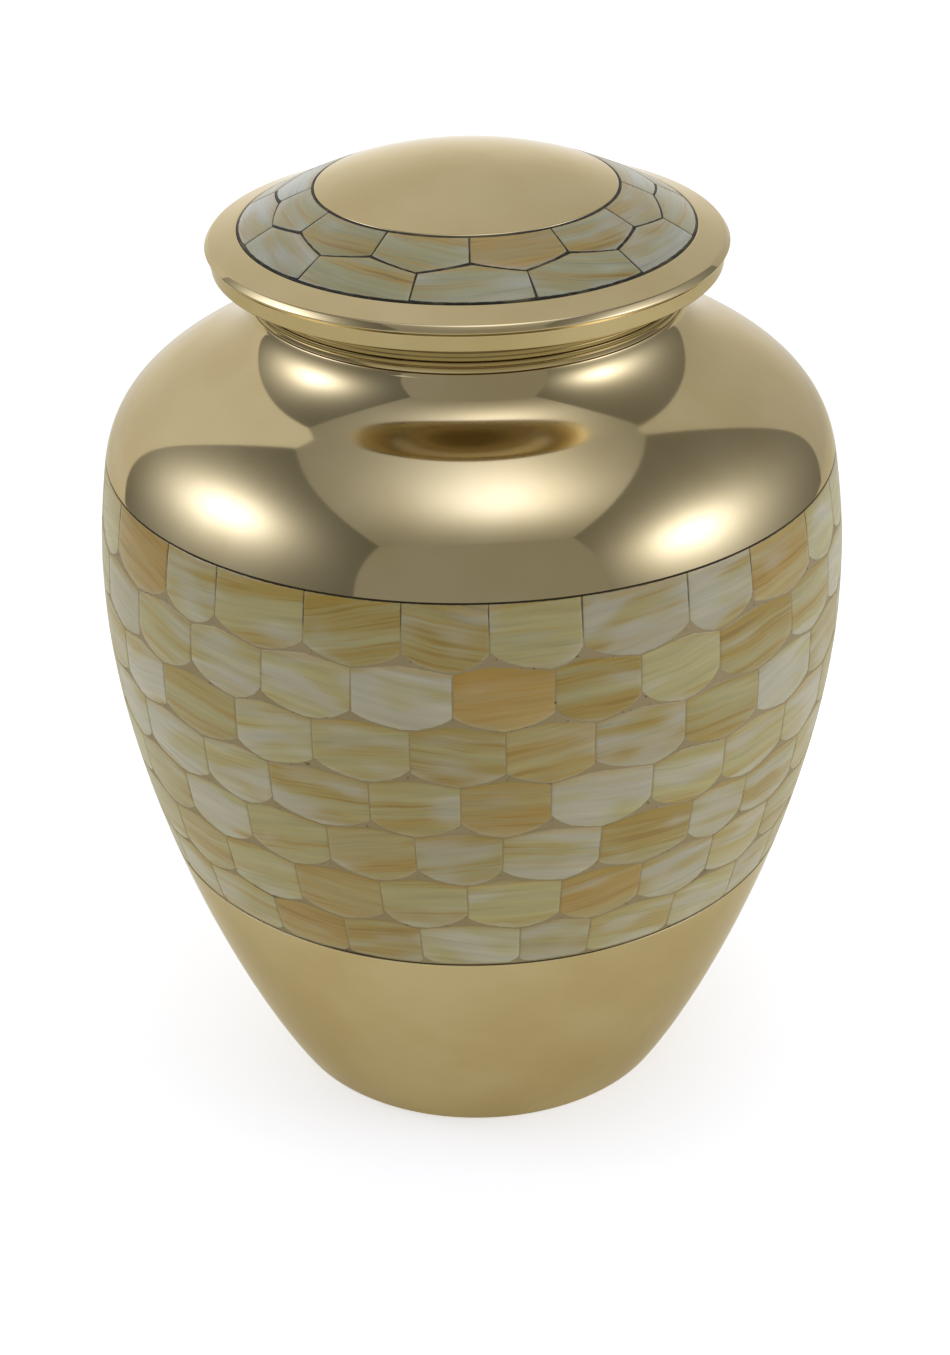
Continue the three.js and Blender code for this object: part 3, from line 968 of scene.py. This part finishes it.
def pearl_finish(name, tone):
    """Mother-of-pearl: pale patches, gold streaks and thin brown lines along each tile's width.

    A tile's upper edge is more golden, and a pale painted highlight runs along its lower one. Its
    lightness also varies from tile to tile and in soft bands over each.
    """
    material, start, point = new_finish(name)
    grain = start.node("ShaderNodeUVMap", {"uv_map": "grain"})
    across, along, _ = parts(grain)
    pale, gold, amber, way_up = (
        start.node("ShaderNodeAttribute", {"attribute_name": key}, {}, "Fac")
        for key in (*TINTS, "way_up"))
    along = along + GRAIN_SWAY * noise(grain, GRAIN_SWAY_SCALE, detail=1)
    patch, streak, line, band = (
        grain_noise(across, along, pattern) for pattern in (PATCH, STREAK, FINE_LINE, SOFT_BAND))
    paleness = step_up(patch + 0.3 * pale, *PALE_RANGE)
    golden = step_up(streak + 0.17 * gold + 0.3 * (line - 0.5), *GOLD_RANGE)
    golden = golden * (1 - 0.7 * paleness)
    brownness = step_up(0.5 * line + 0.5 * band, *BROWN_RANGE)
    upper_edge = step_up(way_up + 0.5 * (patch - 0.5), *UPPER_EDGE_RANGE)
    # Painted highlight: a pale rim along each tile's lower edge
    painted_lower_highlight = step_up(1 - way_up + 0.3 * (patch - 0.5), *LOWER_HIGHLIGHT_RANGE)
    colour = mixed(paleness, tone["body"], tone["pale"])
    colour = mixed(0.85 * golden, colour, tone["gold"])
    colour = mixed(amber * (0.55 + 0.45 * golden), colour, tone["amber"])
    colour = mixed(0.8 * golden * brownness, colour, tone["brown"])
    colour = mixed(0.45 * upper_edge, colour, tone["gold"])
    # The painted highlight along the lower edge, in the pale tone
    colour = mixed(0.35 * painted_lower_highlight, colour, tone["pale"])
    colour = scaled(colour, 0.77 + 0.5 * band + 0.36 * (line - 0.5) - 0.12 * gold)
    close_finish(start, {
        "Base Color": mixed(chip_marks(point), colour, CHIP_COLOUR),
        "Roughness": 0.22 + 0.16 * line,
        "Coat Weight": PEARL_COAT,
        "Coat Roughness": PEARL_COAT_ROUGHNESS,
        "Normal": bumped(line + 2 * streak, PEARL_RELIEF),
    })
    return material


# Colours of the resin round the body
GROUT_DEEP = (0.31, 0.24, 0.12, 1)
GROUT_PALE = (0.41, 0.33, 0.19, 1)
GROUT_SPECK = (0.10, 0.07, 0.03, 1)
GROUT_TOP_ROW = (0.08, 0.06, 0.035, 1)
GROUT_DIRT = (0.07, 0.05, 0.025, 1)
GROUT_EDGE = (0.03, 0.022, 0.008, 1)

# Depths under the band's top over which the joints darken, heights above its bottom over which
# their dirt ends, and the way from the band's edges over which the dark there ends
TOP_ROW_DARK = (9 * MM, 4 * MM)
LOW_ROWS_DIRT = (8 * MM, 32 * MM)
EDGE_DARK = (0.1 * MM, 0.25 * MM)

# How far the clouds move the dark of the top row and of the edges, and how strong the dark is
TOP_ROW_SPREAD = 12 * MM
EDGE_SPREAD = 0.6 * MM
DARK_SHARE = 0.75

# Specks and clouds of the band's resin, in features a metre, and the ranges that show
GROUT_SPECK_SCALE = 900
GROUT_CLOUD_SCALE = 70
GROUT_SPECK_RANGE = (0.62, 0.76)
GROUT_DIRT_RANGE = (0.5, 0.66)
RESIN_RELIEF = 0.05 * MM


def band_resin_finish():
    """Beige resin with specks, dark where it meets the brass and in joints of the top row.

    Dirt also lies here and there in the joints of the lowest rows.
    """
    material, start, point = new_finish("band_resin")
    _, _, z = parts(point)
    speck = noise(point, GROUT_SPECK_SCALE, detail=3)
    cloud = noise(point, GROUT_CLOUD_SCALE, detail=3)
    middle, half = (BAND_BOTTOM + BAND_TOP) / 2, (BAND_TOP - BAND_BOTTOM) / 2
    from_edge = half - abs(z - middle)
    top_row = step_up(
        z + TOP_ROW_SPREAD * (cloud - 0.5), *(BAND_TOP - depth for depth in TOP_ROW_DARK))
    low_rows = 1 - step_up(z, *(BAND_BOTTOM + height for height in LOW_ROWS_DIRT))
    dirt = step_up(cloud, *GROUT_DIRT_RANGE) * low_rows
    clean = step_up(from_edge - EDGE_SPREAD * cloud, *EDGE_DARK)
    grout = mixed(cloud, GROUT_DEEP, GROUT_PALE)
    grout = mixed(step_up(speck, *GROUT_SPECK_RANGE), grout, GROUT_SPECK)
    grout = mixed(DARK_SHARE * top_row, grout, GROUT_TOP_ROW)
    grout = mixed(DARK_SHARE * dirt, grout, GROUT_DIRT)
    close_finish(start, {
        "Base Color": mixed(clean, GROUT_EDGE, grout),
        "Roughness": 0.45 + 0.2 * speck,
        "Specular IOR Level": 0.15,
        "Normal": bumped(speck, RESIN_RELIEF),
    })
    return material


# Colours of the resin in the lid, its specks and clouds in features a metre, and their ranges
LID_RESIN_DARK = (0.02, 0.018, 0.011, 1)
LID_RESIN_CLOUD = (0.1, 0.085, 0.04, 1)
LID_RESIN_SPECK = (0.13, 0.11, 0.06, 1)
LID_SPECK_SCALE = 800
LID_CLOUD_SCALE = 130
LID_SPECK_RANGE = (0.5, 0.8)
LID_CLOUD_RANGE = (0.45, 0.75)


def lid_resin_finish():
    """Nearly black resin with dusty clouds and a few paler specks."""
    material, start, point = new_finish("lid_resin")
    speck = noise(point, LID_SPECK_SCALE, detail=3)
    cloud = noise(point, LID_CLOUD_SCALE)
    dark = mixed(step_up(cloud, *LID_CLOUD_RANGE), LID_RESIN_DARK, LID_RESIN_CLOUD)
    close_finish(start, {
        "Base Color": mixed(step_up(speck, *LID_SPECK_RANGE), dark, LID_RESIN_SPECK),
        "Roughness": 0.4 + 0.25 * speck,
        "Specular IOR Level": 0.2,
        "Normal": bumped(speck, RESIN_RELIEF),
    })
    return material


def finish_pieces(pieces, material):
    """Gives each piece its material."""
    for piece in pieces:
        piece.data.materials.append(material)


# Studio

# A tent of pale cloth round the urn, open behind it, lit from outside by one lamp on each side
TENT_SIDE = 0.6
TENT_FRONT_LEFT = -0.92
TENT_FRONT_RIGHT = -0.77
TENT_BACK_LEFT = 0.39
TENT_BACK_RIGHT = 0.45
TENT_HEIGHT = 1.22

# Each cloth's lamp: its place, the glow far from it, the glow that it adds, and its size. The
# front cloth has only the even glow
LEFT_LAMP = ((-TENT_SIDE, -0.06, 0.51), 0.16, 3.0, 0.285)
RIGHT_LAMP = ((TENT_SIDE, -0.25, 0.41), 0.2, 3.0, 0.29)
TOP_LAMP = ((0.12, -0.15, TENT_HEIGHT), 0.3, 1.9, 0.4)
FRONT_GLOW = ((0, TENT_FRONT_LEFT, 0), 0.365, 0, 1)

# The lamps' light is cooler than the room's, and coolest at their middle
LAMP_TINT = (0.97, 1.015, 1.12)
LAMP_MIDDLE_TINT = (0, 0, 0.22)

# The room's glow: all round, the part that falls from left to right, and the glow low down behind
# with its direction and how narrow it is
ROOM_GLOW = 0.7
ROOM_GLOW_LEFT = 0.17
BEHIND_GLOW = 0.46
BEHIND_DIRECTION = (0, 1, -0.08)
BEHIND_POWER = 12

# Each floor: its name, depth, paleness, glow and tint, and whether the camera sees it
FLOORS = [
    ("floor", 0, 0.86, 0.53, (1, 1, 1), True),
    ("floor_bounce", 0.2 * MM, 0.85, 0.235, (1, 0.97, 0.79), False),
]
FLOOR_REACH = 4.0

# The way from the urn over which a floor may fade, and how much and how finely it is mottled
FLOOR_FADE = (0.4, 1.1)
FLOOR_MOTTLE = 0.01
FLOOR_MOTTLE_SCALE = 8
FLOOR_ROUGHNESS = 0.9


def make_sheet(name, corners, material):
    """A flat four-cornered sheet of the studio, which isn't part of the object."""
    mesh = bpy.data.meshes.new(name)
    mesh.from_pydata(corners, [], [(0, 1, 2, 3)])
    mesh.materials.append(material)
    sheet = bpy.data.objects.new(name, mesh)
    bpy.context.scene.collection.objects.link(sheet)
    return sheet


def glowing_cloth(name, lamp, edge, core, size):
    """Cloth that glows edge + core g at a distance d from its lamp.

    g is 1 / (1 + (d / size)^2)^2, and core g^2 of another tint is added at the lamp's middle.
    """
    material, start, point = new_finish(name)
    away = point.vectors("DISTANCE", lamp, output="Value")
    near = (1 / (1 + away * away * (1 / size ** 2))) ** 2
    colour = scaled(LAMP_TINT, core * near).vectors("ADD", (edge, edge, edge))
    colour = colour.vectors("ADD", scaled(LAMP_MIDDLE_TINT, core * near * near))
    glow = start.node("ShaderNodeEmission", {}, {"Color": colour})
    start.node("ShaderNodeOutputMaterial", {}, {"Surface": glow})
    return material


def make_tent():
    """The tent's left, right, front and top. The camera looks through them."""
    front_left = (-TENT_SIDE, TENT_FRONT_LEFT)
    front_right = (TENT_SIDE, TENT_FRONT_RIGHT)
    back_left = (-TENT_SIDE, TENT_BACK_LEFT)
    back_right = (TENT_SIDE, TENT_BACK_RIGHT)
    for name, start, end, lamp in (
            ("left", front_left, back_left, LEFT_LAMP),
            ("right", back_right, front_right, RIGHT_LAMP),
            ("front", front_right, front_left, FRONT_GLOW)):
        corners = [(*start, 0), (*end, 0), (*end, TENT_HEIGHT), (*start, TENT_HEIGHT)]
        side = make_sheet(f"tent_{name}", corners, glowing_cloth(f"{name}_cloth", *lamp))
        side.visible_camera = False
    corners = [(*place, TENT_HEIGHT) for place in (front_left, back_left, back_right, front_right)]
    top = make_sheet("tent_top", corners, glowing_cloth("top_cloth", *TOP_LAMP))
    top.visible_camera = False


def room_glow(towards):
    """How much the room glows in a direction: more to the left, and most low down behind.

    It is ROOM_GLOW - ROOM_GLOW_LEFT x + BEHIND_GLOW max(b, 0)^p, where x is the direction's part
    to the right, b its part along BEHIND_DIRECTION and p BEHIND_POWER.
    """
    behind = towards.vectors("DOT_PRODUCT", BEHIND_DIRECTION, output="Value")
    x, _, _ = parts(towards)
    low_glow = BEHIND_GLOW * behind.maths("MAXIMUM", behind, 0) ** BEHIND_POWER
    return scaled((1, 1, 1), ROOM_GLOW - ROOM_GLOW_LEFT * x + low_glow)


def floor_finish(name, shade, glow, tint, fades):
    """Pale floor, which may fade into the room's glow far from the urn."""
    material, start, point = new_finish(name)
    away = point.vectors("LENGTH", output="Value")
    towards = point.vectors("NORMALIZE")
    far = fades * step_up(away, *FLOOR_FADE)
    paleness = shade + FLOOR_MOTTLE * noise(point, FLOOR_MOTTLE_SCALE)
    close_finish(start, {
        "Base Color": scaled(tint, paleness * (1 - far)),
        "Roughness": FLOOR_ROUGHNESS,
        "Emission Color": mixed(far, (*(glow * part for part in tint), 1), room_glow(towards)),
        "Emission Strength": 1,
        "Specular IOR Level": 0,
    })
    return material


def make_floor():
    """The floor that the camera sees, and a greyer one under it that lights the urn from below."""
    for name, depth, shade, glow, tint, is_seen in FLOORS:
        corners = [
            (FLOOR_REACH * x, FLOOR_REACH * y, -depth)
            for x, y in ((-1, -1), (1, -1), (1, 1), (-1, 1))]
        floor = make_sheet(name, corners, floor_finish(name, shade, glow, tint, not is_seen))
        floor.visible_camera = is_seen
        floor.visible_diffuse = not is_seen
        floor.visible_glossy = not is_seen


def make_surroundings():
    """A pale room, brightest low down behind the urn."""
    world = bpy.data.worlds.new("room")
    world.use_nodes = True
    world.node_tree.nodes.clear()
    start = Socket(world.node_tree)
    towards = start.node("ShaderNodeTexCoord", {}, {}, "Generated")
    glow = start.node("ShaderNodeBackground", {}, {"Color": room_glow(towards)})
    start.node("ShaderNodeOutputWorld", {}, {"Surface": glow})
    bpy.context.scene.world = world


# Camera

# The camera's target, its way from there, its angles, its sensor and lens in mm, and the nearest
# place that it sees
TARGET = Vector((0.2 * MM, 0, 102.4 * MM))
CAMERA_DISTANCE = 695.8 * MM
CAMERA_ELEVATION = math.radians(29.14)
CAMERA_ROLL = math.radians(-0.91)
SENSOR_WIDTH = 36
LENS = 71.45
NEAREST_SEEN = 0.01


def make_camera():
    """The camera at the photograph's angle: tilted, rolled and moved back from its target."""
    data = bpy.data.cameras.new("camera")
    data.sensor_width = SENSOR_WIDTH
    data.lens = LENS
    data.clip_start = NEAREST_SEEN
    camera = bpy.data.objects.new("camera", data)
    bpy.context.scene.collection.objects.link(camera)
    away = Vector((0, -math.cos(CAMERA_ELEVATION), math.sin(CAMERA_ELEVATION)))
    look = Matrix.Rotation(math.pi / 2 - CAMERA_ELEVATION, 4, "X")
    roll = Matrix.Rotation(CAMERA_ROLL, 4, "Z")
    camera.matrix_world = Matrix.Translation(TARGET + CAMERA_DISTANCE * away) @ look @ roll
    bpy.context.scene.camera = camera


body = make_body()
lid = make_lid()
band_tiles = make_band_tiles()
band_resin = make_band_resin()
lid_tiles = make_lid_tiles()
lid_resin = make_lid_resin()
finish_pieces([body, lid], brass_finish())
finish_pieces([band_tiles], pearl_finish("mother_of_pearl", BAND_PEARL))
finish_pieces(lid_tiles, pearl_finish("lid_mother_of_pearl", LID_PEARL))
finish_pieces([band_resin], band_resin_finish())
finish_pieces([lid_resin], lid_resin_finish())
make_tent()
make_floor()
make_surroundings()
make_camera()

bpy.context.scene.view_settings.view_transform = "Standard"
